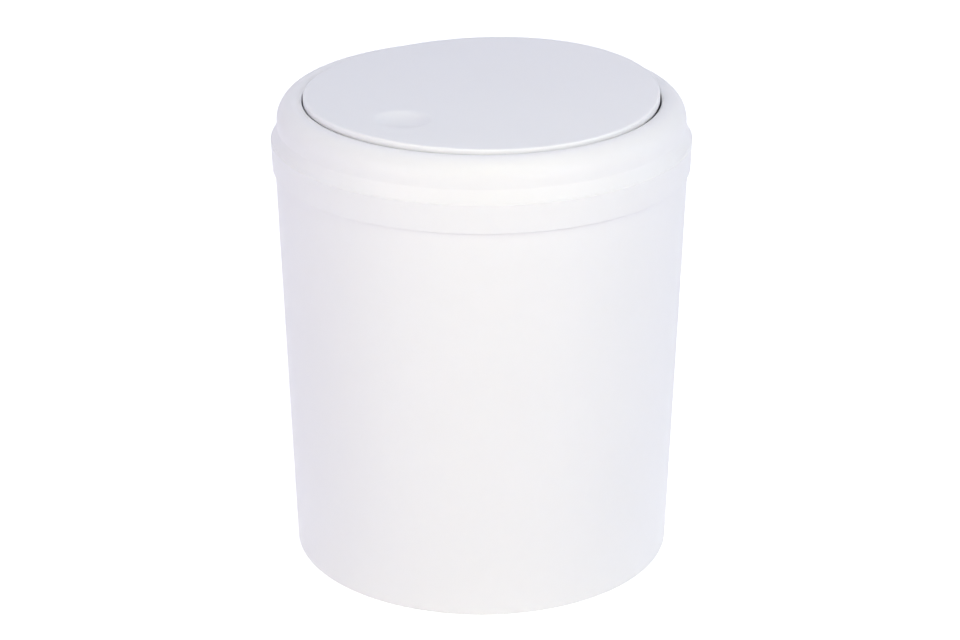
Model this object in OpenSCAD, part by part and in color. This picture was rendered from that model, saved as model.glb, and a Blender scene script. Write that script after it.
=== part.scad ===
// Countertop waste bin with a swing lid.
// A tapered tub stands on the worktop, a domed lid ring drops over its rim, and a round flap
// swings in the ring's mouth on two moulded pins. A steel rod under the flap brings it back level.
// The hinge runs along X, the finger press is on the -Y side, and the origin is the centre of the base.

/* [Tub] */
// Height of the tub from the worktop to the ledge that carries the lid
tub_h = 156.4; // [110:0.1:220]
// Radius of the tub at the worktop
base_r = 73.8; // [60:0.1:74]
// Radius of the tub just under the lid
ledge_r = 78.7; // [74.6:0.1:95]
// Thickness of the tub's wall
tub_wall = 2.2; // [1.6:0.1:3]
// Thickness of the tub's floor
floor_t = 2.2; // [1.5:0.1:4]
// Height of the neck that plugs up into the lid
neck_h = 9; // [6:0.5:10]
// Step from the tub's outside in to the neck
neck_step = 0.9; // [0.6:0.1:1.2]
// Radius of the rounded inner corner between floor and wall
floor_round = 6; // [2:0.5:12]
// Radius of the rounded outer edge at the worktop
base_round = 0.8; // [0.4:0.1:1.4]
// Depth of the recess under the base
recess_h = 1.5; // [0.5:0.1:3]
// Width of the foot ring around that recess
foot_w = 4; // [3:0.5:8]
// Height of the sealing bead above the neck's surface
bead_h = 0.15; // [0.05:0.05:0.2]

/* [Lid ring] */
// How far the skirt stands out beyond the tub at the seam
overhang = 1.1; // [0.6:0.1:2]
// Height of the skirt from the seam to its crisp upper edge
skirt_h = 11.1; // [10:0.1:16]
// Growth in radius from the bottom to the top of the skirt
skirt_flare = 0.36; // [0:0.02:0.8]
// Radial gap between the tub's neck and the inside of the skirt
lid_gap = 0.3; // [0.2:0.05:0.5]
// Inward step of the sloping shoulder above the skirt
shoulder_in = 2.4; // [1.5:0.1:3]
// Height of the sloping shoulder
shoulder_h = 5; // [3:0.1:7]
// Height of the upright band between shoulder and dome
band_h = 2.3; // [1:0.1:5]
// Radius of the dome's rounding
dome_r = 8.9; // [7:0.1:10]
// Thickness of the lid ring's wall
ring_wall = 1.8; // [1.4:0.1:2.2]
// Angle up the dome's rounding at which the tighter rounding of the lip takes over
lip_turn = 55; // [45:1:65]
// Radius of the lip, which rolls over the top towards the mouth
lip_round = 5; // [4.5:0.1:6]
// Distance from the crest of the lip in to the mouth
lip_in = 3; // [2.5:0.1:3.2]
// Height of the collar that lines the mouth, below its stop ribs
collar_foot = 0.5; // [0.5:0.1:2]
// Number of ribs that tie the collar to the dome from below
rib_count = 10; // [6:1:16]
// Thickness of each of those ribs
rib_t = 1.2; // [1:0.1:2]

/* [Swing flap] */
// Radial gap between the flap and the mouth
flap_gap = 0.55; // [0.55:0.05:1.5]
// Height of the plate above the crest of the lip, at the hinge line
flap_rise = 1.05; // [0.8:0.05:1.4]
// Thickness of the flap's plate
plate_t = 2; // [1.5:0.1:3]
// Rise of the plate at its free edges above its hinge line
curl = 1.8; // [0.5:0.1:1.8]
// Depth of the turned-down rim
rim_h = 3; // [2.6:0.1:3]
// Thickness of the turned-down rim
rim_t = 1.8; // [1.2:0.1:2.4]
// Depth of the hinge axis below the top of the plate
hinge_drop = 5.3; // [5.2:0.1:5.3]
// Angle at which the flap hangs, finger press side low
flap_tilt = 1; // [0:0.05:1.5]
// Distance of the finger press from the hinge axis
press_y = 43.5; // [35:0.5:48]
// Radius of the finger press
press_r = 10.5; // [9:0.5:15]
// Depth of the finger press
press_depth = 2.3; // [0.5:0.1:2.5]
// Thickness of the stiffening ribs under the plate
stiff_t = 1.4; // [1:0.1:2]
// Depth of the stiffening ribs under the plate
stiff_h = 3; // [2:0.1:3.5]

/* [Hinge] */
// Radius of the flap's pins
pin_r = 2; // [1.5:0.1:2.2]
// Radial clearance of the pins in their holes
pin_clear = 0.08; // [0.03:0.01:0.1]
// Length of each bearing hole
bearing_l = 4.4; // [3:0.1:5]
// Radius of the boss around each bearing hole
boss_r = 3.2; // [3:0.1:3.3]
// Thickness of the ears that carry the pins
ear_t = 3.6; // [2.5:0.1:5]
// Radius of the rounded lower end of each ear
ear_r = 4.8; // [4:0.1:6]
// Half the width of the stop ribs below the bearings
stop_w = 2.5; // [2:0.1:2.8]
// Distance from the hinge axis down to the foot of each stop rib
stop_drop = 10; // [8:0.5:10]
// How far the stop ribs stand in from the collar
stop_in = 2.1; // [1.8:0.1:2.4]

/* [Counterweight] */
// Radius of the steel rod
rod_r = 4; // [3.5:0.1:5]
// Length of the steel rod
rod_l = 52; // [44:1:70]
// Distance of the rod below the hinge axis
rod_drop = 16; // [14:0.5:22]
// Offset of the rod towards the finger press, which lets that side hang low
rod_shift = 0.1; // [-0.5:0.05:0.5]
// Wall of the tube that holds the rod
tube_wall = 1.4; // [1.2:0.1:2.5]
// Radial clearance of the rod in its tube
rod_clear = 0.05; // [0.02:0.01:0.1]
// Thickness of the web that hangs the tube below the plate
web_t = 2.4; // [1.6:0.1:3.5]
// Length of the plug's shank inside the tube
plug_l = 4; // [2:0.5:6]
// Thickness of the plug's head
plug_head = 1.5; // [1:0.1:2.5]

/* [Hidden] */
$fn = 96;
tiny = 0.01;
ball_fn = 192;
curl_fn = 720;

// Tub
draft = (ledge_r - base_r) / tub_h;
neck_r = ledge_r - neck_step;
bore_r = ledge_r - tub_wall;
rim_z = tub_h + neck_h;
floor_z = recess_h + floor_t;
bead_r = 0.5;

// Lid ring, from the seam upwards
skirt_r = ledge_r + overhang;
edge_r = skirt_r + skirt_flare;
edge_z = tub_h + skirt_h;
band_r = edge_r - shoulder_in;
band_z = edge_z + shoulder_h;
dome_z = band_z + band_h;
dome_c = band_r - dome_r;
lip_c = dome_c + (dome_r - lip_round) * cos(lip_turn);
lip_z = dome_z + (dome_r - lip_round) * sin(lip_turn);
top_z = lip_z + lip_round;
mouth_r = lip_c - lip_in;
collar_r = mouth_r + ring_wall;
hinge_z = top_z + flap_rise - hinge_drop;
collar_z = hinge_z - stop_drop - collar_foot;
rib_z = band_z - shoulder_h / 2;
skirt_in = neck_r + lid_gap;
band_in = band_r - ring_wall;
slope_l = sqrt(shoulder_in * shoulder_in + shoulder_h * shoulder_h);
slope_z = edge_z - ring_wall * shoulder_in / slope_l;
slope_r = edge_r - ring_wall * shoulder_h / slope_l;
skirt_top_z = slope_z + (slope_r - skirt_in) * shoulder_h / shoulder_in;
band_bottom_z = slope_z + (slope_r - band_in) * shoulder_h / shoulder_in;

// Swing flap
flap_r = mouth_r - flap_gap;
curl_r = (flap_r * flap_r + curl * curl) / (2 * curl);
press_ball_r = (press_r * press_r + press_depth * press_depth) / (2 * press_depth);
press_top = hinge_drop + curl_r - sqrt(curl_r * curl_r - press_y * press_y);
press_slope = asin(press_y / curl_r);
ear_x = flap_r - rim_t;
pin_end = mouth_r + bearing_l - 0.4;
pin_chamfer = 0.5;

// Counterweight
tube_in = rod_r + rod_clear;
tube_out = tube_in + tube_wall;
tube_l = rod_l + plug_l;
rod_x = -tube_l / 2;

// Moves the flap's parts, drawn level about the hinge axis, to the angle at which the flap hangs
module hang() {
    translate([0, 0, hinge_z])
        rotate([flap_tilt, 0, 0])
            children();
}

// Cylinder along X, starting at x
module x_rod(r, l, x = 0) {
    translate([x, 0, 0])
        rotate([0, 90, 0])
            cylinder(r = r, h = l);
}

// Space above the plate that lies depth below its curled top surface
module curl_space(depth) {
    translate([0, 0, hinge_drop + curl_r])
        x_rod(curl_r + depth, 4 * flap_r, -2 * flap_r, $fn = curl_fn);
}

// Outline of the tub's outside, with its neck, as one half section
module tub_outside() {
    difference() {
        union() {
            polygon([
                [0, 0],
                [base_r, 0],
                [ledge_r, tub_h],
                [neck_r, tub_h],
                [neck_r, rim_z],
                [0, rim_z]
            ]);
            translate([neck_r + bead_h - bead_r, tub_h + neck_h / 2])
                circle(r = bead_r);
        }
        difference() {
            translate([base_r - base_round, -tiny])
                square([2 * base_round, base_round + tiny]);
            translate([base_r - base_round, base_round])
                circle(r = base_round + draft * base_round);
        }
    }
}

// Outline of the tub's inside, with the rounded corner at its floor
module tub_inside() {
    low_r = base_r + draft * floor_z - tub_wall;
    round_r = low_r + draft * floor_round;
    polygon([
        [0, floor_z + floor_round],
        [round_r, floor_z + floor_round],
        [bore_r, tub_h],
        [bore_r + draft * (neck_h + tiny), rim_z + tiny],
        [0, rim_z + tiny]
    ]);
    translate([0, floor_z])
        square([round_r - floor_round, floor_round + tiny]);
    translate([round_r - floor_round, floor_z + floor_round])
        circle(r = floor_round);
}

module bin_body() {
    color("whitesmoke")
        rotate_extrude()
            difference() {
                tub_outside();
                intersection() {
                    tub_inside();
                    square([2 * ledge_r, 2 * tub_h]);
                }
                translate([0, -tiny])
                    square([base_r - foot_w, recess_h + tiny]);
            }
}

// Outline of the dome and of the lip that follows it, set in by t, from a radius outwards
module crown(t, from_r) {
    intersection() {
        translate([from_r, dome_z - tiny])
            square(2 * dome_r);
        union() {
            intersection() {
                translate([dome_c, dome_z])
                    circle(r = dome_r - t);
                translate([dome_c, dome_z])
                    rotate(lip_turn)
                        translate([-2 * dome_r, -4 * dome_r])
                            square(4 * dome_r);
            }
            translate([lip_c, lip_z])
                circle(r = lip_round - t);
            polygon([
                [from_r, dome_z - tiny],
                [dome_c + tiny, dome_z - tiny],
                [lip_c, lip_z],
                [from_r, lip_z]
            ]);
        }
    }
}

// Outline of the lid ring's outside, filled in to the mouth
module ring_outside() {
    polygon([
        [mouth_r, tub_h],
        [skirt_r, tub_h],
        [edge_r, edge_z],
        [band_r, band_z],
        [band_r, dome_z],
        [mouth_r, dome_z]
    ]);
    crown(0, mouth_r);
}

// Outline of the space inside the lid ring, open at the bottom
module ring_inside() {
    polygon([
        [collar_r, tub_h - tiny],
        [skirt_in, tub_h - tiny],
        [skirt_in, skirt_top_z],
        [band_in, band_bottom_z],
        [band_in, dome_z],
        [collar_r, dome_z]
    ]);
    crown(ring_wall, collar_r);
    translate([0, tub_h - tiny])
        square([collar_r + tiny, collar_z - tub_h + tiny]);
}

// Ribs between the collar and the dome, clear of the tub's rim and of the bearings
module ring_ribs() {
    for (i = [0 : rib_count - 1])
        rotate(360 / rib_count * (i + 0.5))
            translate([collar_r - ring_wall / 2, -rib_t / 2, rib_z])
                cube([band_in - collar_r + ring_wall, rib_t, dome_z + dome_r / 2 - rib_z]);
}

// Bearing boss outside the collar and stop rib inside it, on the +X side
module bearing() {
    translate([0, 0, hinge_z])
        x_rod(boss_r, bearing_l - ring_wall / 2, mouth_r + ring_wall / 2);
    translate([mouth_r - stop_in, -stop_w, hinge_z - stop_drop])
        cube([stop_in + ring_wall / 2, 2 * stop_w, stop_drop / 2]);
}

module lid_ring() {
    color("white")
        difference() {
            union() {
                rotate_extrude()
                    difference() {
                        ring_outside();
                        ring_inside();
                    }
                difference() {
                    intersection() {
                        ring_ribs();
                        rotate_extrude()
                            ring_outside();
                    }
                    translate([0, 0, tub_h])
                        cylinder(r = mouth_r + ring_wall / 2, h = top_z);
                }
                for (side = [0, 180])
                    rotate(side)
                        bearing();
            }
            translate([0, 0, hinge_z])
                x_rod(pin_r + pin_clear, 2 * (mouth_r + bearing_l + 1), -(mouth_r + bearing_l + 1));
        }
}

// Curled plate with its turned-down rim
module flap_shell() {
    difference() {
        intersection() {
            cylinder(r = flap_r, h = 2 * hinge_drop);
            union() {
                curl_space(plate_t);
                difference() {
                    curl_space(rim_h);
                    cylinder(r = flap_r - rim_t, h = 4 * hinge_drop, center = true);
                }
            }
        }
        curl_space(0);
    }
}

// Ball whose cap makes the finger press, grown by t for the wall below it
module press_ball(t) {
    translate([0, -press_y, press_top])
        rotate([-press_slope, 0, 0])
            translate([0, 0, press_ball_r - press_depth])
                sphere(r = press_ball_r + t, $fn = ball_fn);
}

// Wall of the finger press where it bulges below the plate
module press_wall() {
    intersection() {
        press_ball(plate_t);
        translate([0, -press_y, 0])
            cylinder(r = press_r + plate_t, h = hinge_drop);
    }
}

// Ear that carries a pin, on the +X side
module ear() {
    translate([ear_x - ear_t, -ear_r, 0])
        cube([ear_t, 2 * ear_r, hinge_drop - plate_t / 2]);
    x_rod(ear_r, ear_t, ear_x - ear_t);
    x_rod(pin_r, pin_end - pin_chamfer - ear_x + tiny, ear_x - tiny);
    translate([pin_end - pin_chamfer, 0, 0])
        rotate([0, 90, 0])
            cylinder(r1 = pin_r, r2 = pin_r - pin_chamfer, h = pin_chamfer);
}

// Ribs under the plate that tie the ears, the web and the rim together
module stiffeners() {
    low = hinge_drop - plate_t - stiff_h;
    for (y = [-ear_r, ear_r - stiff_t])
        translate([-ear_x, y, low])
            cube([2 * ear_x, stiff_t, stiff_h + plate_t / 2]);
    for (x = [-tube_l / 2, tube_l / 2 - stiff_t])
        difference() {
            translate([x, -flap_r, low])
                cube([stiff_t, 2 * flap_r, stiff_h + plate_t / 2 + curl]);
            cylinder_outside(flap_r - rim_t / 2);
        }
}

// Everything outside a radius, to trim what must stay within the rim
module cylinder_outside(r) {
    difference() {
        cube([4 * r, 4 * r, 4 * hinge_drop], center = true);
        cylinder(r = r, h = 5 * hinge_drop, center = true);
    }
}

// Web and closed tube that hold the steel rod
module rod_holder() {
    translate([rod_x, -rod_shift - web_t / 2, -rod_drop])
        cube([tube_l, web_t, rod_drop + hinge_drop - plate_t / 2]);
    translate([0, -rod_shift, -rod_drop])
        x_rod(tube_out, tube_l + tube_wall, rod_x - tube_wall);
}

module swing_flap() {
    color([0.93, 0.93, 0.96])
        hang()
            difference() {
                union() {
                    flap_shell();
                    press_wall();
                    ear();
                    rotate(180)
                        ear();
                    stiffeners();
                    rod_holder();
                }
                curl_space(0);
                press_ball(0);
                translate([0, -rod_shift, -rod_drop])
                    x_rod(tube_in, tube_l + tiny, rod_x);
            }
}

module counterweight() {
    color("silver")
        hang()
            translate([0, -rod_shift, -rod_drop])
                x_rod(rod_r, rod_l, rod_x);
}

module weight_plug() {
    color("white")
        hang()
            translate([0, -rod_shift, -rod_drop]) {
                x_rod(tube_in, plug_l, rod_x + rod_l);
                x_rod(tube_out, plug_head, rod_x + tube_l);
            }
}

bin_body();
lid_ring();
swing_flap();
counterweight();
weight_plug();
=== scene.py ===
import math

import bmesh
import bpy
from mathutils import Matrix, Vector


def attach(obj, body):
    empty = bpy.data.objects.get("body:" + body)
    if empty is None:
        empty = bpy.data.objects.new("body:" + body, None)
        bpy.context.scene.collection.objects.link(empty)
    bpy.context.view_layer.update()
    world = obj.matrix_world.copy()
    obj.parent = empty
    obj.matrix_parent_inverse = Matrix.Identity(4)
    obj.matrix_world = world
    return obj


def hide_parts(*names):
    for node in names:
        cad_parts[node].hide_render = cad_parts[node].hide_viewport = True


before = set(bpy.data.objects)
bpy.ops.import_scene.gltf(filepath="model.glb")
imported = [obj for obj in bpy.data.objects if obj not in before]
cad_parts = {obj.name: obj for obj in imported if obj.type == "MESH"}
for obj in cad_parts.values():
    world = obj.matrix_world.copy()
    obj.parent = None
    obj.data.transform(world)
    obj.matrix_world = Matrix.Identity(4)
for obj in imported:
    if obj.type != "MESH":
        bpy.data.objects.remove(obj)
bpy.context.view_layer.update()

# Looks of a white countertop bin with a swing lid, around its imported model.
# Outlines are in millimetres, about the tub's axis or about the hinge, and become metres
# as each mesh is made. The main sizes are the same as in the CAD model.

MM = 0.001

# Tub
TUB_H = 156.4
BASE_R = 73.8
LEDGE_R = 78.7
TUB_WALL = 2.2
FLOOR_T = 2.2
NECK_H = 9.0
NECK_STEP = 0.9
FLOOR_ROUND = 6.0
BASE_ROUND = 0.8
RECESS_H = 1.5
FOOT_W = 4.0
BEAD_H = 0.15
BEAD_HALF = 0.36
GATE_R = 3.2
GATE_DEPTH = 0.5
GATE_TIP_R = 0.9
GATE_SLOPE = 0.2

# Lid ring
OVERHANG = 1.1
SKIRT_H = 11.1
SKIRT_FLARE = 0.36
LID_GAP = 0.3
SHOULDER_IN = 2.4
SHOULDER_H = 5.0
BAND_H = 2.3
DOME_R = 8.9
RING_WALL = 1.8
LIP_ROUND = 5.0
LIP_TURN = 55.0
LIP_IN = 3.0
COLLAR_FOOT = 0.5
RIB_COUNT = 10
RIB_T = 1.2

# Flap
FLAP_GAP = 0.55
FLAP_RISE = 1.05
PLATE_T = 2.0
CURL = 1.8
RIM_H = 3.0
RIM_T = 1.8
HINGE_DROP = 5.3
FLAP_TILT = math.radians(1.0)
PRESS_Y = 43.5
PRESS_R = 10.5
PRESS_DEPTH = 2.3
PRESS_SOFT = 0.15
STIFF_T = 1.4
STIFF_H = 3.0
RIB_RUN = 9.0

# Hinge and counterweight
PIN_R = 2.0
PIN_CLEAR = 0.08
PIN_SHORT = 0.4
PIN_CHAMFER = 0.5
BEARING_L = 4.4
BOSS_R = 3.2
EAR_T = 3.6
EAR_R = 4.8
STOP_W = 2.5
STOP_DROP = 10.0
STOP_IN = 2.1
ROD_R = 4.0
ROD_L = 52.0
ROD_DROP = 16.0
ROD_SHIFT = 0.1
TUBE_WALL = 1.4
ROD_CLEAR = 0.05
WEB_T = 2.4
PLUG_L = 4.0
PLUG_HEAD = 1.5
PLUG_DISH = 0.5
PLUG_SLOPE = 0.4

# Roundings that moulding and handling leave on the edges
EDGE_SOFT = 0.2
EDGE_STEP = 0.12
EDGE_LIP = 0.45
EDGE_LEDGE = 0.5
SEAM_SOFT = 0.35
CREASE_SOFT = 0.5
RIM_SOFT = 0.6
MOUTH_SOFT = 0.6
FLAP_SOFT = 0.8
SMALL_SOFT = 0.25
TIGHT_SOFT = 0.15
GATE_TIP_SOFT = 0.2
GATE_SOFT = 0.3
BEAD_SOFT = 0.5
ROD_SOFT = 0.5
PLUG_SOFT = 0.3
PLUG_HEAD_SOFT = 0.4

# Fineness of the meshes: sides of turned shapes, longest stretch of an outline in mm,
# and steps along arcs and roundings
TURN_SIDES = 256
SMALL_SIDES = 96
PLATE_SIDES = 288
TURN_STEP = 6.0
PLATE_STEP = 1.0
SOFT_STEPS = 5
TUB_SOFT_STEPS = 6
ROD_SOFT_STEPS = 2
PLUG_SOFT_STEPS = 3
DOME_STEPS = 14
LIP_STEPS = 16
INNER_DOME_STEPS = 12
INNER_LIP_STEPS = 10
RIB_DOME_STEPS = 8
RIB_LIP_STEPS = 6
EAR_STEPS = 32
CURL_STEPS = 24

# Edges that turn by more than this many degrees stay crisp
SHARP = 38
ROD_SHARP = 20
PLUG_SHARP = 30

# Sizes worked out from those above
DRAFT = (LEDGE_R - BASE_R) / TUB_H
NECK_R = LEDGE_R - NECK_STEP
BORE_R = LEDGE_R - TUB_WALL
RIM_Z = TUB_H + NECK_H
FLOOR_Z = RECESS_H + FLOOR_T
SKIRT_R = LEDGE_R + OVERHANG
EDGE_R = SKIRT_R + SKIRT_FLARE
EDGE_Z = TUB_H + SKIRT_H
BAND_R = EDGE_R - SHOULDER_IN
BAND_Z = EDGE_Z + SHOULDER_H
DOME_Z = BAND_Z + BAND_H
DOME_C = BAND_R - DOME_R
LIP_C = DOME_C + (DOME_R - LIP_ROUND) * math.cos(math.radians(LIP_TURN))
LIP_Z = DOME_Z + (DOME_R - LIP_ROUND) * math.sin(math.radians(LIP_TURN))
TOP_Z = LIP_Z + LIP_ROUND
MOUTH_R = LIP_C - LIP_IN
LIP_END = 90 + math.degrees(math.asin(LIP_IN / LIP_ROUND))
COLLAR_R = MOUTH_R + RING_WALL
HINGE_Z = TOP_Z + FLAP_RISE - HINGE_DROP
COLLAR_Z = HINGE_Z - STOP_DROP - COLLAR_FOOT
RIB_Z = BAND_Z - SHOULDER_H / 2
SKIRT_IN = NECK_R + LID_GAP
BAND_IN = BAND_R - RING_WALL
FLAP_R = MOUTH_R - FLAP_GAP
CURL_R = (FLAP_R ** 2 + CURL ** 2) / (2 * CURL)
PRESS_BALL_R = (PRESS_R ** 2 + PRESS_DEPTH ** 2) / (2 * PRESS_DEPTH)
EAR_X = FLAP_R - RIM_T
PIN_END = MOUTH_R + BEARING_L - PIN_SHORT
TUBE_IN = ROD_R + ROD_CLEAR
TUBE_OUT = TUBE_IN + TUBE_WALL
TUBE_L = ROD_L + PLUG_L
ROD_X = -TUBE_L / 2

# Small lengths in mm: how near the axis counts as on it, how far joined pieces run into
# each other, and how far a cutting tool runs past what it cuts
ON_AXIS = 1e-6
WELD = 0.05
PAST = 1.0

# In metres: how near two points count as one
DOUBLED = 1e-8

# A rounding takes no more than this share of either side of its corner
SIDE_SHARE = 0.49


# Outlines

def arc(centre, radius, start, end, steps):
    """Points on an arc, with its angles in degrees."""
    points = []
    for i in range(steps + 1):
        a = math.radians(start + (end - start) * i / steps)
        points.append((centre[0] + radius * math.cos(a), centre[1] + radius * math.sin(a)))
    return points


def fillet(before, corner, after, radius, steps):
    """Points of the arc that rounds one corner of an outline."""
    c = Vector(corner)
    a = Vector(before) - c
    b = Vector(after) - c
    reach_a = SIDE_SHARE * a.length
    reach_b = SIDE_SHARE * b.length
    a.normalize()
    b.normalize()
    half = a.angle(b) / 2
    reach = min(radius / math.tan(half), reach_a, reach_b)
    radius = reach * math.tan(half)
    centre = c + (a + b).normalized() * (radius / math.sin(half))
    start = c + a * reach - centre
    end = c + b * reach - centre
    turn = math.atan2(start.x * end.y - start.y * end.x, start.dot(end))
    points = []
    for i in range(steps + 1):
        step = turn * i / steps
        x = start.x * math.cos(step) - start.y * math.sin(step)
        y = start.x * math.sin(step) + start.y * math.cos(step)
        points.append((centre.x + x, centre.y + y))
    return points


def rounded(corners, steps=SOFT_STEPS):
    """A closed outline from corners (u, v) kept sharp and corners (u, v, radius) made round."""
    points = []
    count = len(corners)
    for i, corner in enumerate(corners):
        if len(corner) == 2:
            points.append(corner)
            continue
        before = corners[(i - 1) % count][:2]
        after = corners[(i + 1) % count][:2]
        points += fillet(before, corner[:2], after, corner[2], steps)
    return points


def with_steps(points, longest):
    """The closed outline with its long straight stretches divided."""
    out = []
    for i, point in enumerate(points):
        a = Vector(point)
        b = Vector(points[(i + 1) % len(points)])
        on_axis = a.x < ON_AXIS and b.x < ON_AXIS
        parts = 1 if on_axis else max(1, math.ceil((b - a).length / longest))
        for k in range(parts):
            out.append(tuple(a.lerp(b, k / parts)))
    return out


# Meshes

def make_object(name, bm):
    """A new object from a closed mesh, with its normals outward."""
    bmesh.ops.recalc_face_normals(bm, faces=bm.faces)
    mesh = bpy.data.meshes.new(name)
    bm.to_mesh(mesh)
    bm.free()
    obj = bpy.data.objects.new(name, mesh)
    bpy.context.scene.collection.objects.link(obj)
    return obj


def lathe(name, points, place=None, segments=TURN_SIDES, longest=TURN_STEP):
    """A closed solid turned about Z from an outline of (radius, height) in mm.
    place says where a point (x, y, height) goes, if not straight there."""
    bm = bmesh.new()
    rings = []
    for r, z in with_steps(points, longest):
        count = 1 if r < ON_AXIS else segments
        ring = []
        for s in range(count):
            a = 2 * math.pi * s / count
            at = (r * math.cos(a), r * math.sin(a), z)
            if place:
                at = place(*at)
            ring.append(bm.verts.new(Vector(at) * MM))
        rings.append(ring)
    for i, low in enumerate(rings):
        high = rings[(i + 1) % len(rings)]
        if len(low) == 1 and len(high) == 1:
            continue
        for s in range(segments):
            t = (s + 1) % segments
            if len(low) == 1:
                bm.faces.new((low[0], high[t], high[s]))
            elif len(high) == 1:
                bm.faces.new((low[s], low[t], high[0]))
            else:
                bm.faces.new((low[s], low[t], high[t], high[s]))
    return make_object(name, bm)


def plate(name, points, low, high, axis):
    """An outline in mm drawn out along X from low to high, or along Y."""
    bm = bmesh.new()
    ends = []
    for level in (low, high):
        ring = []
        for p, q in points:
            at = (level, p, q) if axis == "X" else (p, level, q)
            ring.append(bm.verts.new(Vector(at) * MM))
        ends.append(ring)
        bm.faces.new(ring)
    for i in range(len(points)):
        j = (i + 1) % len(points)
        bm.faces.new((ends[0][i], ends[0][j], ends[1][j], ends[1][i]))
    return make_object(name, bm)


def turned_x(name, points, y=0.0, z=0.0):
    """A solid turned about a line along X: an outline of (radius, x) in mm."""
    return lathe(name, points, lambda a, b, x: (x, a + y, b + z), SMALL_SIDES, math.inf)


def move(obj, matrix):
    """Moves the mesh inside its object."""
    obj.data.transform(matrix)
    obj.data.update()
    return obj


def merge(objects):
    """Puts separate meshes into the first object, without joining their surfaces."""
    first = objects[0]
    bm = bmesh.new()
    for obj in objects:
        bm.from_mesh(obj.data)
    bm.to_mesh(first.data)
    bm.free()
    for obj in objects[1:]:
        bpy.data.objects.remove(obj)
    return first


def combine(target, tool, operation):
    """Joins the tool to the target, or cuts it out, by an exact boolean."""
    modifier = target.modifiers.new("combine", "BOOLEAN")
    modifier.operation = operation
    modifier.solver = "EXACT"
    modifier.object = tool
    graph = bpy.context.evaluated_depsgraph_get()
    mesh = bpy.data.meshes.new_from_object(target.evaluated_get(graph))
    target.modifiers.clear()
    target.data = mesh
    bpy.data.objects.remove(tool)
    return target


def finish_mesh(obj, sharp=SHARP):
    """Smooth shading with crisp edges kept, on a mesh free of doubled points."""
    bm = bmesh.new()
    bm.from_mesh(obj.data)
    bmesh.ops.remove_doubles(bm, verts=bm.verts, dist=DOUBLED)
    limit = math.radians(sharp)
    for edge in bm.edges:
        edge.smooth = len(edge.link_faces) == 2 and edge.calc_face_angle(0) < limit
    for face in bm.faces:
        face.smooth = True
    bm.to_mesh(obj.data)
    bm.free()
    return obj


# Tub

def make_tub():
    """Tapered tub with its foot ring, the gate's mark under the floor, and the neck's bead."""
    low_r = BASE_R + DRAFT * FLOOR_Z - TUB_WALL
    neck_mid = TUB_H + NECK_H / 2
    corners = [
        (0, RECESS_H - GATE_DEPTH),
        (GATE_TIP_R, RECESS_H - GATE_DEPTH, GATE_TIP_SOFT),
        (GATE_TIP_R + GATE_SLOPE, RECESS_H + GATE_DEPTH, GATE_TIP_SOFT),
        (GATE_R, RECESS_H + GATE_DEPTH, GATE_SOFT),
        (GATE_R + GATE_DEPTH, RECESS_H, GATE_SOFT),
        (BASE_R - FOOT_W, RECESS_H, CREASE_SOFT),
        (BASE_R - FOOT_W, 0, SMALL_SOFT),
        (BASE_R, 0, BASE_ROUND),
        (LEDGE_R, TUB_H, SMALL_SOFT),
        (NECK_R, TUB_H, TIGHT_SOFT),
        (NECK_R, neck_mid - BEAD_HALF),
        (NECK_R + BEAD_H, neck_mid, BEAD_SOFT),
        (NECK_R, neck_mid + BEAD_HALF),
        (NECK_R, RIM_Z, RIM_SOFT),
        (BORE_R + DRAFT * NECK_H, RIM_Z, RIM_SOFT),
        (low_r, FLOOR_Z, FLOOR_ROUND),
        (0, FLOOR_Z),
    ]
    return finish_mesh(lathe("tub", rounded(corners, TUB_SOFT_STEPS)))


# Lid ring

def ring_outline():
    """Outline of the ring's wall: skirt, ridge, slope, dome, rolled lip and collar."""
    slope_l = math.hypot(SHOULDER_IN, SHOULDER_H)
    slope_z = EDGE_Z - RING_WALL * SHOULDER_IN / slope_l
    slope_r = EDGE_R - RING_WALL * SHOULDER_H / slope_l
    rise = SHOULDER_H / SHOULDER_IN
    skirt_top_z = slope_z + (slope_r - SKIRT_IN) * rise
    band_bottom_z = slope_z + (slope_r - BAND_IN) * rise
    inner_r = DOME_R - RING_WALL
    inner_lip = LIP_ROUND - RING_WALL
    inner_end = math.degrees(math.acos((COLLAR_R - LIP_C) / inner_lip))
    corners = [
        (SKIRT_IN, TUB_H, TIGHT_SOFT),
        (SKIRT_R, TUB_H, SEAM_SOFT),
        (EDGE_R - EDGE_STEP, EDGE_Z - EDGE_LIP - EDGE_STEP, EDGE_STEP),
        (EDGE_R, EDGE_Z - EDGE_LIP, EDGE_STEP),
        (EDGE_R, EDGE_Z - EDGE_LEDGE / 3, EDGE_SOFT),
        (EDGE_R - EDGE_LEDGE, EDGE_Z + EDGE_LEDGE / 3, EDGE_SOFT),
        (BAND_R, BAND_Z, CREASE_SOFT),
    ]
    corners += arc((DOME_C, DOME_Z), DOME_R, 0, LIP_TURN, DOME_STEPS)
    corners += arc((LIP_C, LIP_Z), LIP_ROUND, LIP_TURN, LIP_END, LIP_STEPS)[1:-1]
    corners += [
        (MOUTH_R, LIP_Z + LIP_ROUND * math.sin(math.radians(LIP_END)), MOUTH_SOFT),
        (MOUTH_R, COLLAR_Z, SMALL_SOFT),
        (COLLAR_R, COLLAR_Z, SMALL_SOFT),
    ]
    corners += arc((LIP_C, LIP_Z), inner_lip, inner_end, LIP_TURN, INNER_LIP_STEPS)
    corners += arc((DOME_C, DOME_Z), inner_r, LIP_TURN, 0, INNER_DOME_STEPS)[1:]
    corners += [
        (BAND_IN, band_bottom_z, CREASE_SOFT),
        (SKIRT_IN, skirt_top_z, CREASE_SOFT),
    ]
    return rounded(corners)


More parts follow.
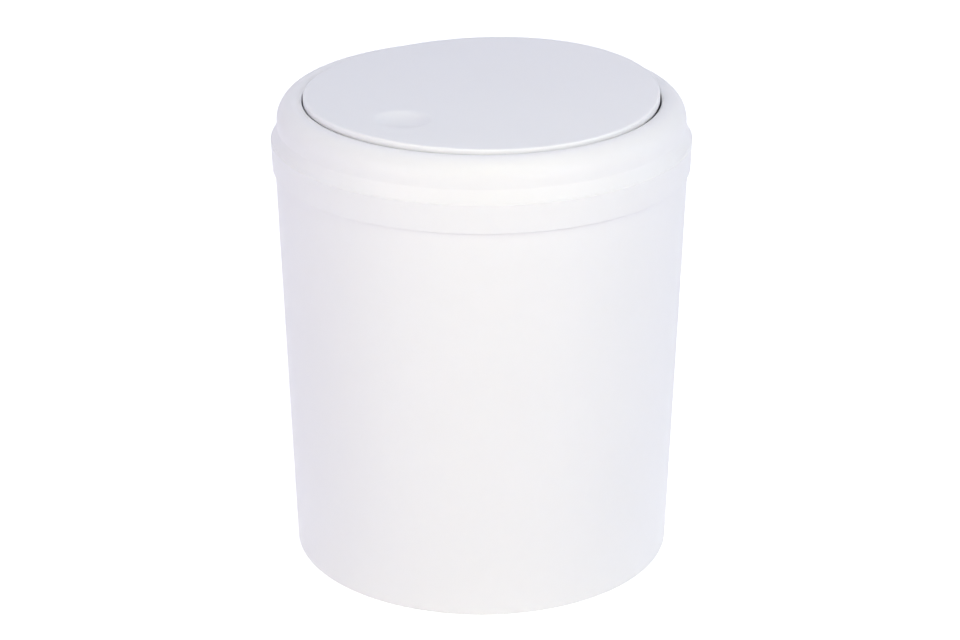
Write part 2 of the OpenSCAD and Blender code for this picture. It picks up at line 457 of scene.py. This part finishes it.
def ring_rib(index):
    """Rib between the collar and the dome, sunk half a wall into both."""
    left = COLLAR_R - RING_WALL / 2
    lip_r = LIP_ROUND - RING_WALL / 2
    end = math.degrees(math.acos((left - LIP_C) / lip_r))
    points = [(left, RIB_Z), (BAND_IN + RING_WALL / 2, RIB_Z)]
    points += arc((DOME_C, DOME_Z), DOME_R - RING_WALL / 2, 0, LIP_TURN, RIB_DOME_STEPS)
    points += arc((LIP_C, LIP_Z), lip_r, LIP_TURN, end, RIB_LIP_STEPS)[1:]
    rib = plate("rib", points, -RIB_T / 2, RIB_T / 2, "Y")
    turn = 2 * math.pi * (index + 0.5) / RIB_COUNT
    return move(rib, Matrix.Rotation(turn, 4, "Z"))


def bearing(side):
    """Boss round one bearing hole, and the stop rib below it."""
    boss = turned_x("boss", rounded([
        (0, MOUTH_R + RING_WALL / 2),
        (BOSS_R, MOUTH_R + RING_WALL / 2),
        (BOSS_R, MOUTH_R + BEARING_L, SMALL_SOFT),
        (0, MOUTH_R + BEARING_L),
    ]))
    stop = plate("stop", rounded([
        (-STOP_W, -STOP_DROP, SMALL_SOFT),
        (STOP_W, -STOP_DROP, SMALL_SOFT),
        (STOP_W, -STOP_DROP / 2, SMALL_SOFT),
        (-STOP_W, -STOP_DROP / 2, SMALL_SOFT),
    ]), MOUTH_R - STOP_IN, MOUTH_R + RING_WALL / 2, "X")
    pair = merge([boss, stop])
    move(pair, Matrix.Translation((0, 0, HINGE_Z * MM)))
    return move(pair, Matrix.Rotation(math.pi * side, 4, "Z"))


def make_ring():
    """Lid ring with its hidden ribs, bearings and stop ribs, bored through for the pins."""
    ring = lathe("ring", ring_outline())
    added = merge([ring_rib(i) for i in range(RIB_COUNT)] + [bearing(0), bearing(1)])
    combine(ring, added, "UNION")
    reach = MOUTH_R + BEARING_L + PAST
    hole = turned_x("hole", [
        (0, -reach),
        (PIN_R + PIN_CLEAR, -reach),
        (PIN_R + PIN_CLEAR, reach),
        (0, reach),
    ], z=HINGE_Z)
    combine(ring, hole, "DIFFERENCE")
    return finish_mesh(ring)


# Flap, drawn level about the hinge and then tilted to the angle at which it hangs

def curl_rise(y):
    """Rise of the plate above its hinge line."""
    return CURL_R - math.sqrt(CURL_R ** 2 - y ** 2)


def press_depth(x, y):
    """Depth of the finger press at a place on the plate, with a soft edge."""
    away = math.hypot(x, y + PRESS_Y)
    if away >= 2 * PRESS_R:
        return 0.0
    cap = math.sqrt(PRESS_BALL_R ** 2 - away ** 2) - (PRESS_BALL_R - PRESS_DEPTH)
    return (cap + math.sqrt(cap ** 2 + PRESS_SOFT ** 2)) / 2


def on_plate(x, y, depth):
    """A point that lies depth below the plate's top, curled and pressed in."""
    inside = 0.0 if math.hypot(x, y) > EAR_X else press_depth(x, y)
    return (x, y, HINGE_DROP + curl_rise(y) - depth - inside)


def flap_plate():
    """Curled round plate with its finger press and turned-down rim."""
    corners = [
        (0, 0),
        (FLAP_R, 0, FLAP_SOFT),
        (FLAP_R, RIM_H, SMALL_SOFT),
        (FLAP_R - RIM_T, RIM_H, SMALL_SOFT),
        (FLAP_R - RIM_T, PLATE_T, CREASE_SOFT),
        (0, PLATE_T),
    ]
    return lathe("flap", rounded(corners), on_plate, PLATE_SIDES, PLATE_STEP)


def ear(side):
    """Ear with its pin, on one end of the hinge."""
    arch = arc((0, 0), EAR_R, 180, 360, EAR_STEPS)
    top = HINGE_DROP - PLATE_T / 2
    sides = [(EAR_R, top), (-EAR_R, top)]
    body = plate("ear", arch + sides, EAR_X - EAR_T, EAR_X + WELD, "X")
    pin = turned_x("pin", [
        (0, EAR_X - EAR_T / 2),
        (PIN_R, EAR_X - EAR_T / 2),
        (PIN_R, PIN_END - PIN_CHAMFER),
        (PIN_R - PIN_CHAMFER, PIN_END),
        (0, PIN_END),
    ])
    turn = Matrix.Rotation(math.pi * side, 4, "Z")
    return [move(body, turn), move(pin, turn)]


def cross_rib(y):
    """Rib along the hinge, under the plate."""
    low = HINGE_DROP - PLATE_T - STIFF_H
    high = HINGE_DROP - PLATE_T / 2
    corners = [(y, low), (y + STIFF_T, low), (y + STIFF_T, high), (y, high)]
    return plate("cross_rib", corners, -EAR_X - WELD, EAR_X + WELD, "X")


def long_rib(x):
    """Rib across the hinge. Its top follows the curled plate and its ends run out at the rim."""
    low = HINGE_DROP - PLATE_T - STIFF_H
    half = math.sqrt((FLAP_R - RIM_T / 2) ** 2 - (TUBE_L / 2) ** 2)
    end_low = HINGE_DROP - RIM_H + curl_rise(half)
    points = [(-half, end_low), (-half + RIB_RUN, low), (half - RIB_RUN, low), (half, end_low)]
    for i in range(CURL_STEPS + 1):
        y = half - 2 * half * i / CURL_STEPS
        points.append((y, HINGE_DROP - PLATE_T / 2 + curl_rise(y)))
    return plate("long_rib", points, x, x + STIFF_T, "X")


def rod_holder():
    """Web and closed tube that hold the rod."""
    foot = -ROD_DROP + TUBE_IN + TUBE_WALL / 2
    web = plate("web", [
        (-WEB_T / 2 - ROD_SHIFT, foot),
        (WEB_T / 2 - ROD_SHIFT, foot),
        (WEB_T / 2 - ROD_SHIFT, HINGE_DROP - PLATE_T / 2),
        (-WEB_T / 2 - ROD_SHIFT, HINGE_DROP - PLATE_T / 2),
    ], ROD_X + WELD, ROD_X + TUBE_L - WELD, "X")
    tube = turned_x("tube", rounded([
        (0, ROD_X - TUBE_WALL),
        (TUBE_OUT, ROD_X - TUBE_WALL, SMALL_SOFT),
        (TUBE_OUT, ROD_X + TUBE_L, SMALL_SOFT / 2),
        (TUBE_IN, ROD_X + TUBE_L),
        (TUBE_IN, ROD_X),
        (0, ROD_X),
    ]), -ROD_SHIFT, -ROD_DROP)
    return [web, tube]


def hang(obj):
    """Puts a piece drawn about the hinge in its place, at the flap's tilt."""
    turn = Matrix.Rotation(FLAP_TILT, 4, "X")
    return move(obj, Matrix.Translation((0, 0, HINGE_Z * MM)) @ turn)


def make_flap():
    """Flap with its ears, ribs and rod holder, as one moulding."""
    parts = ear(0) + ear(1) + [cross_rib(-EAR_R), cross_rib(EAR_R - STIFF_T)]
    parts += [long_rib(ROD_X), long_rib(-ROD_X - STIFF_T)] + rod_holder()
    under = parts[0]
    for part in parts[1:]:
        combine(under, part, "UNION")
    flap = combine(flap_plate(), under, "UNION")
    return finish_mesh(hang(flap))


def make_rod():
    """Steel rod that weighs the flap down."""
    outline = rounded([
        (0, ROD_X),
        (ROD_R, ROD_X, ROD_SOFT),
        (ROD_R, ROD_X + ROD_L, ROD_SOFT),
        (0, ROD_X + ROD_L),
    ], ROD_SOFT_STEPS)
    return finish_mesh(hang(turned_x("rod", outline, -ROD_SHIFT, -ROD_DROP)), ROD_SHARP)


def make_plug():
    """Plug in the tube's open end, with a shallow dish in its head."""
    start = ROD_X + ROD_L
    end = ROD_X + TUBE_L
    head = end + PLUG_HEAD
    outline = rounded([
        (0, start),
        (TUBE_IN, start, PLUG_SOFT),
        (TUBE_IN, end),
        (TUBE_OUT, end, SMALL_SOFT / 2),
        (TUBE_OUT, head, PLUG_HEAD_SOFT),
        (TUBE_OUT / 2, head, PLUG_SOFT),
        (TUBE_OUT / 2 - PLUG_SLOPE, head - PLUG_DISH, PLUG_SOFT),
        (0, head - PLUG_DISH),
    ], PLUG_SOFT_STEPS)
    return finish_mesh(hang(turned_x("plug", outline, -ROD_SHIFT, -ROD_DROP)), PLUG_SHARP)


# Materials

# Colours in linear light
WHITE = (0.885, 0.880, 0.885, 1.0)
# FLAP_WHITE is WHITE with a faint cool tint painted in, standing for the bluish light that falls
# on the flap's upturned top
FLAP_WHITE = (0.880, 0.880, 0.890, 1.0)
WORN = (0.78, 0.775, 0.765, 1.0)
STEEL_DARK = (0.60, 0.61, 0.63, 1.0)
STEEL_LIGHT = (0.74, 0.74, 0.75, 1.0)

# Patterns as (scale per metre, detail, roughness)
FLOW = (14.0, 2.0, 0.5)
MOTTLE = (160.0, 4.0, 0.6)
GRAIN = (2600.0, 2.0, 0.6)
RUBS = (420.0, 5.0, 0.7)
DRAW_LINES = (1800.0, 4.0, 0.6)
CLOUD = (90.0, 3.0, 0.5)

# The part of a pattern's values that is spread over its whole effect
SHADE_RANGE = (0.35, 0.65)
RUB_RANGE = (0.46, 0.66)
ROUGH_RANGE = (0.3, 0.7)

# Plastic: colour, roughness and bump, and how far light travels under the surface in metres
FLOW_SHARE = 0.6
DEEPER = 0.985
WORN_SHARE = 0.55
PLASTIC_ROUGH = 0.45
FLAP_ROUGH = 0.50
ROUGH_SPREAD = 0.05
WORN_ROUGH = 0.12
GRAIN_STRENGTH = 0.35
GRAIN_H = 0.00003
WAVE_STRENGTH = 0.25
WAVE_H = 0.0002
PLASTIC_IOR = 1.49
GLOW_SHARE = 0.4
GLOW_REACH = 0.0012
GLOW_TINT = (1.0, 0.95, 0.9)

# Steel: its lines run along X
LINE_STRETCH = (0.03, 1.0, 1.0)
LINE_ROUGH = (0.24, 0.40)
LINE_STRENGTH = 0.2

# Where handling rubs each moulding, as (height, width) in mm
TUB_WORN = [(0.0, 2.2), (RIM_Z, 1.2)]
RING_WORN = [(TUB_H, 0.6)]
HOLDER_WORN = [(HINGE_Z - ROD_DROP, 1.0)]


def feed(tree, socket, value):
    """Joins a socket to another, or sets it to a plain value."""
    if isinstance(value, bpy.types.NodeSocket):
        tree.links.new(value, socket)
    else:
        socket.default_value = value


def node(tree, kind, **inputs):
    """A new shader node with its named inputs fed."""
    made = tree.nodes.new(kind)
    for key, value in inputs.items():
        feed(tree, made.inputs[key.replace("_", " ")], value)
    return made


def noise(tree, place, pattern):
    """A noise pattern's value."""
    scale, detail, roughness = pattern
    made = node(
        tree,
        "ShaderNodeTexNoise",
        Vector=place,
        Scale=scale,
        Detail=detail,
        Roughness=roughness,
    )
    return made.outputs["Fac"]


def remap(tree, value, low, high, to_low=0.0, to_high=1.0):
    """The value carried from one range over to another."""
    made = node(
        tree,
        "ShaderNodeMapRange",
        Value=value,
        From_Min=low,
        From_Max=high,
        To_Min=to_low,
        To_Max=to_high,
    )
    return made.outputs["Result"]


def maths(tree, operation, a, b=0.0):
    """One step of arithmetic."""
    made = tree.nodes.new("ShaderNodeMath")
    made.operation = operation
    feed(tree, made.inputs[0], a)
    feed(tree, made.inputs[1], b)
    return made.outputs[0]


def blend_colour(tree, amount, a, b):
    """Colour a turned into colour b by the amount. The node has a set of sockets for each
    kind of data, and those used here are the colours'."""
    made = tree.nodes.new("ShaderNodeMix")
    made.data_type = "RGBA"
    feed(tree, made.inputs[0], amount)
    feed(tree, made.inputs[6], a)
    feed(tree, made.inputs[7], b)
    return made.outputs[2]


def near_height(tree, height, level, width):
    """1 at a height in mm, falling to 0 at width above and below it."""
    away = maths(tree, "ABSOLUTE", maths(tree, "SUBTRACT", height, level * MM))
    return remap(tree, away, 0.0, width * MM, 1.0, 0.0)


def wear_mask(tree, place, worn_levels):
    """How rubbed the surface is, in patches near the worn levels."""
    height = node(tree, "ShaderNodeSeparateXYZ", Vector=place).outputs["Z"]
    wear = 0.0
    for level, width in worn_levels:
        wear = maths(tree, "MAXIMUM", near_height(tree, height, level, width), wear)
    return maths(tree, "MULTIPLY", wear, remap(tree, noise(tree, place, RUBS), *RUB_RANGE))


def plastic(name, colour, roughness, worn_levels):
    """White moulded polypropylene: faint flow marks, fine grain and rubbed edges."""
    material = bpy.data.materials.new(name)
    material.use_nodes = True
    tree = material.node_tree
    shader = tree.nodes["Principled BSDF"]
    place = tree.nodes.new("ShaderNodeTexCoord").outputs["Object"]
    flow = noise(tree, place, FLOW)
    mottle = noise(tree, place, MOTTLE)
    grain = noise(tree, place, GRAIN)
    wear = wear_mask(tree, place, worn_levels)

    long_marks = maths(tree, "MULTIPLY", flow, FLOW_SHARE)
    short_marks = maths(tree, "MULTIPLY", mottle, 1 - FLOW_SHARE)
    shade = remap(tree, maths(tree, "ADD", long_marks, short_marks), *SHADE_RANGE)
    deeper = tuple(c * DEEPER for c in colour[:3]) + (1.0,)
    base = blend_colour(tree, shade, deeper, colour)
    base = blend_colour(tree, maths(tree, "MULTIPLY", wear, WORN_SHARE), base, WORN)
    tree.links.new(base, shader.inputs["Base Color"])

    least = roughness - ROUGH_SPREAD
    most = roughness + ROUGH_SPREAD
    rough = remap(tree, mottle, *ROUGH_RANGE, least, most)
    rough = maths(tree, "ADD", rough, maths(tree, "MULTIPLY", wear, WORN_ROUGH))
    tree.links.new(rough, shader.inputs["Roughness"])

    wavy = node(tree, "ShaderNodeBump", Strength=WAVE_STRENGTH, Distance=WAVE_H, Height=flow)
    fine = node(tree, "ShaderNodeBump", Strength=GRAIN_STRENGTH, Distance=GRAIN_H, Height=grain)
    tree.links.new(wavy.outputs["Normal"], fine.inputs["Normal"])
    tree.links.new(fine.outputs["Normal"], shader.inputs["Normal"])

    shader.inputs["IOR"].default_value = PLASTIC_IOR
    shader.inputs["Subsurface Weight"].default_value = GLOW_SHARE
    shader.inputs["Subsurface Radius"].default_value = GLOW_TINT
    shader.inputs["Subsurface Scale"].default_value = GLOW_REACH
    return material


def zinc(name):
    """Drawn, zinc-plated steel, with fine lines along its length."""
    material = bpy.data.materials.new(name)
    material.use_nodes = True
    tree = material.node_tree
    shader = tree.nodes["Principled BSDF"]
    place = tree.nodes.new("ShaderNodeTexCoord").outputs["Object"]
    stretch = node(tree, "ShaderNodeMapping", Vector=place, Scale=LINE_STRETCH)
    lines = noise(tree, stretch.outputs["Vector"], DRAW_LINES)
    base = blend_colour(tree, noise(tree, place, CLOUD), STEEL_DARK, STEEL_LIGHT)
    tree.links.new(base, shader.inputs["Base Color"])
    tree.links.new(remap(tree, lines, *ROUGH_RANGE, *LINE_ROUGH), shader.inputs["Roughness"])
    bump = node(tree, "ShaderNodeBump", Strength=LINE_STRENGTH, Distance=GRAIN_H, Height=lines)
    tree.links.new(bump.outputs["Normal"], shader.inputs["Normal"])
    shader.inputs["Metallic"].default_value = 1.0
    return material


def dress(obj, material):
    """Gives the object its one material."""
    obj.data.materials.clear()
    obj.data.materials.append(material)


# Light, floor and camera

AZIMUTH = math.radians(42.0)
CAMERA_OUT = 0.9808
CAMERA_UP = 0.4952
CAMERA_PITCH = math.radians(22.42)
FOCAL_PX = 2710.0
IMAGE_W = 960
SENSOR = 36.0
AXIS_RIGHT_PX = 1.6
AXIS_DOWN_PX = 0.5
CLIP_NEAR = 0.01
CLIP_FAR = 50.0

# The sky is light at the horizon and fades out at this height on the way up, where 1 is
# straight overhead
SKY_LOW = (0.70, 0.70, 0.71, 1.0)
SKY_HIGH = (0.0, 0.0, 0.0, 1.0)
SKY_FADE = 0.9
BACKGROUND = (1.0, 1.0, 1.0, 1.0)

FLOOR_R = 6.0
FLOOR_SIDES = 96
FLOOR_COLOUR = (0.90, 0.90, 0.90, 1.0)
FLOOR_ROUGH = 0.9
FLOOR_GLOW = 0.75

# Area lamps: name, azimuth from the camera's and elevation in degrees, distance and
# (width, height) in metres, power in watts, colour. They face a point this high in metres
# on the tub's axis.
AIM_Z = 0.10
LAMPS = [
    ("front_low", 0.0, 14.0, 1.8, (1.8, 1.3), 2.54, (1.0, 1.0, 1.0)),
    ("front_high", 0.0, 34.0, 1.6, (1.5, 0.9), 1.07, (1.0, 0.7, 0.4)),
    ("front_close", 12.0, 55.0, 0.75, (0.45, 0.45), 1.56, (0.94, 1.0, 0.82)),
    ("left_near", -45.0, 15.0, 1.8, (0.8, 1.2), 7.7, (1.0, 0.95, 0.97)),
    ("right_near", 45.0, 15.0, 1.8, (0.8, 1.2), 6.92, (0.95, 0.92, 1.0)),
    ("right_far", 95.0, 15.0, 1.8, (0.8, 1.2), 4.78, (0.61, 0.74, 1.0)),
    ("left_far", -95.0, 15.0, 1.8, (0.8, 1.2), 2.54, (0.43, 0.41, 1.0)),
    ("above", 0.0, 88.0, 1.5, (1.4, 1.4), 1.56, (0.41, 0.35, 1.0)),
    ("behind", 180.0, 35.0, 1.8, (1.6, 1.0), 1.27, (0.23, 0.29, 1.0)),
    ("behind_high", 180.0, 62.0, 1.5, (1.2, 1.0), 5.36, (0.82, 0.84, 1.0)),
]


def sees_background(tree):
    """1 for rays that should see the plain white background."""
    path = tree.nodes.new("ShaderNodeLightPath")
    seen = maths(tree, "MAXIMUM", path.outputs["Is Camera Ray"], path.outputs["Is Glossy Ray"])
    return maths(tree, "MAXIMUM", seen, path.outputs["Is Transmission Ray"])


def make_world():
    """Soft light from the sky, and plain white wherever the background itself is seen."""
    world = bpy.data.worlds.new("studio")
    bpy.context.scene.world = world
    world.use_nodes = True
    tree = world.node_tree
    tree.nodes.clear()
    way = tree.nodes.new("ShaderNodeTexCoord").outputs["Generated"]
    up = node(tree, "ShaderNodeSeparateXYZ", Vector=way).outputs["Z"]
    sky = blend_colour(tree, remap(tree, up, 0.0, SKY_FADE), SKY_LOW, SKY_HIGH)
    soft = node(tree, "ShaderNodeBackground", Color=sky, Strength=1.0)
    white = node(tree, "ShaderNodeBackground", Color=BACKGROUND, Strength=1.0)
    mixed = node(tree, "ShaderNodeMixShader", Fac=sees_background(tree))
    tree.links.new(soft.outputs[0], mixed.inputs[1])
    tree.links.new(white.outputs[0], mixed.inputs[2])
    out = tree.nodes.new("ShaderNodeOutputWorld")
    tree.links.new(mixed.outputs[0], out.inputs["Surface"])


def make_floor():
    """Plain pale floor that keeps the object's shadow."""
    bm = bmesh.new()
    bmesh.ops.create_circle(bm, cap_ends=True, segments=FLOOR_SIDES, radius=FLOOR_R)
    floor = make_object("floor", bm)
    material = bpy.data.materials.new("floor_white")
    material.use_nodes = True
    tree = material.node_tree
    shader = tree.nodes["Principled BSDF"]
    shader.inputs["Base Color"].default_value = FLOOR_COLOUR
    shader.inputs["Roughness"].default_value = FLOOR_ROUGH
    shader.inputs["Specular IOR Level"].default_value = 0.0
    strength = maths(tree, "MULTIPLY", sees_background(tree), FLOOR_GLOW)
    glow = node(tree, "ShaderNodeEmission", Strength=strength)
    both = tree.nodes.new("ShaderNodeAddShader")
    tree.links.new(shader.outputs[0], both.inputs[0])
    tree.links.new(glow.outputs[0], both.inputs[1])
    tree.links.new(both.outputs[0], tree.nodes["Material Output"].inputs["Surface"])
    dress(floor, material)


def from_camera(azimuth, elevation, distance):
    """A place at angles in degrees about the object, the azimuth counted from the camera's."""
    a = AZIMUTH + math.radians(azimuth)
    e = math.radians(elevation)
    flat = distance * math.cos(e)
    return Vector((flat * math.sin(a), -flat * math.cos(a), AIM_Z + distance * math.sin(e)))


def softbox(name, azimuth, elevation, distance, size, power, colour):
    """A rectangular area lamp that faces the object."""
    lamp = bpy.data.lights.new(name, "AREA")
    lamp.shape = "RECTANGLE"
    lamp.size = size[0]
    lamp.size_y = size[1]
    lamp.energy = power
    lamp.color = colour
    obj = bpy.data.objects.new(name, lamp)
    bpy.context.scene.collection.objects.link(obj)
    obj.location = from_camera(azimuth, elevation, distance)
    aim = Vector((0, 0, AIM_Z)) - obj.location
    obj.rotation_euler = aim.to_track_quat("-Z", "Y").to_euler()
    obj.visible_camera = False


def make_camera():
    """The camera of the photograph, as fitted to the object's circles."""
    camera = bpy.data.cameras.new("camera")
    camera.sensor_width = SENSOR
    camera.lens = SENSOR * FOCAL_PX / IMAGE_W
    camera.shift_x = -AXIS_RIGHT_PX / IMAGE_W
    camera.shift_y = AXIS_DOWN_PX / IMAGE_W
    camera.clip_start = CLIP_NEAR
    camera.clip_end = CLIP_FAR
    obj = bpy.data.objects.new("camera", camera)
    bpy.context.scene.collection.objects.link(obj)
    out_x = CAMERA_OUT * math.sin(AZIMUTH)
    out_y = -CAMERA_OUT * math.cos(AZIMUTH)
    obj.location = (out_x, out_y, CAMERA_UP)
    obj.rotation_euler = (math.pi / 2 - CAMERA_PITCH, 0.0, AZIMUTH)
    bpy.context.scene.camera = obj


# The scene

make_camera()
make_world()
make_floor()
for lamp in LAMPS:
    softbox(*lamp)
bpy.context.scene.view_settings.view_transform = "Standard"

tub = make_tub()
dress(tub, plastic("tub_white", WHITE, PLASTIC_ROUGH, TUB_WORN))
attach(tub, "bin")
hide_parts("bin_body")

ring = make_ring()
dress(ring, plastic("ring_white", WHITE, PLASTIC_ROUGH, RING_WORN))
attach(ring, "lid")
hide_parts("lid_ring")

flap = make_flap()
# The flap's colour carries a painted cool tint for the bluish light from above
dress(flap, plastic("flap_white", FLAP_WHITE, FLAP_ROUGH, HOLDER_WORN))
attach(flap, "flap")
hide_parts("swing_flap")

rod = make_rod()
dress(rod, zinc("zinc_plate"))
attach(rod, "flap")
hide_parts("counterweight")

plug = make_plug()
dress(plug, plastic("plug_white", WHITE, PLASTIC_ROUGH, HOLDER_WORN))
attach(plug, "flap")
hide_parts("weight_plug")
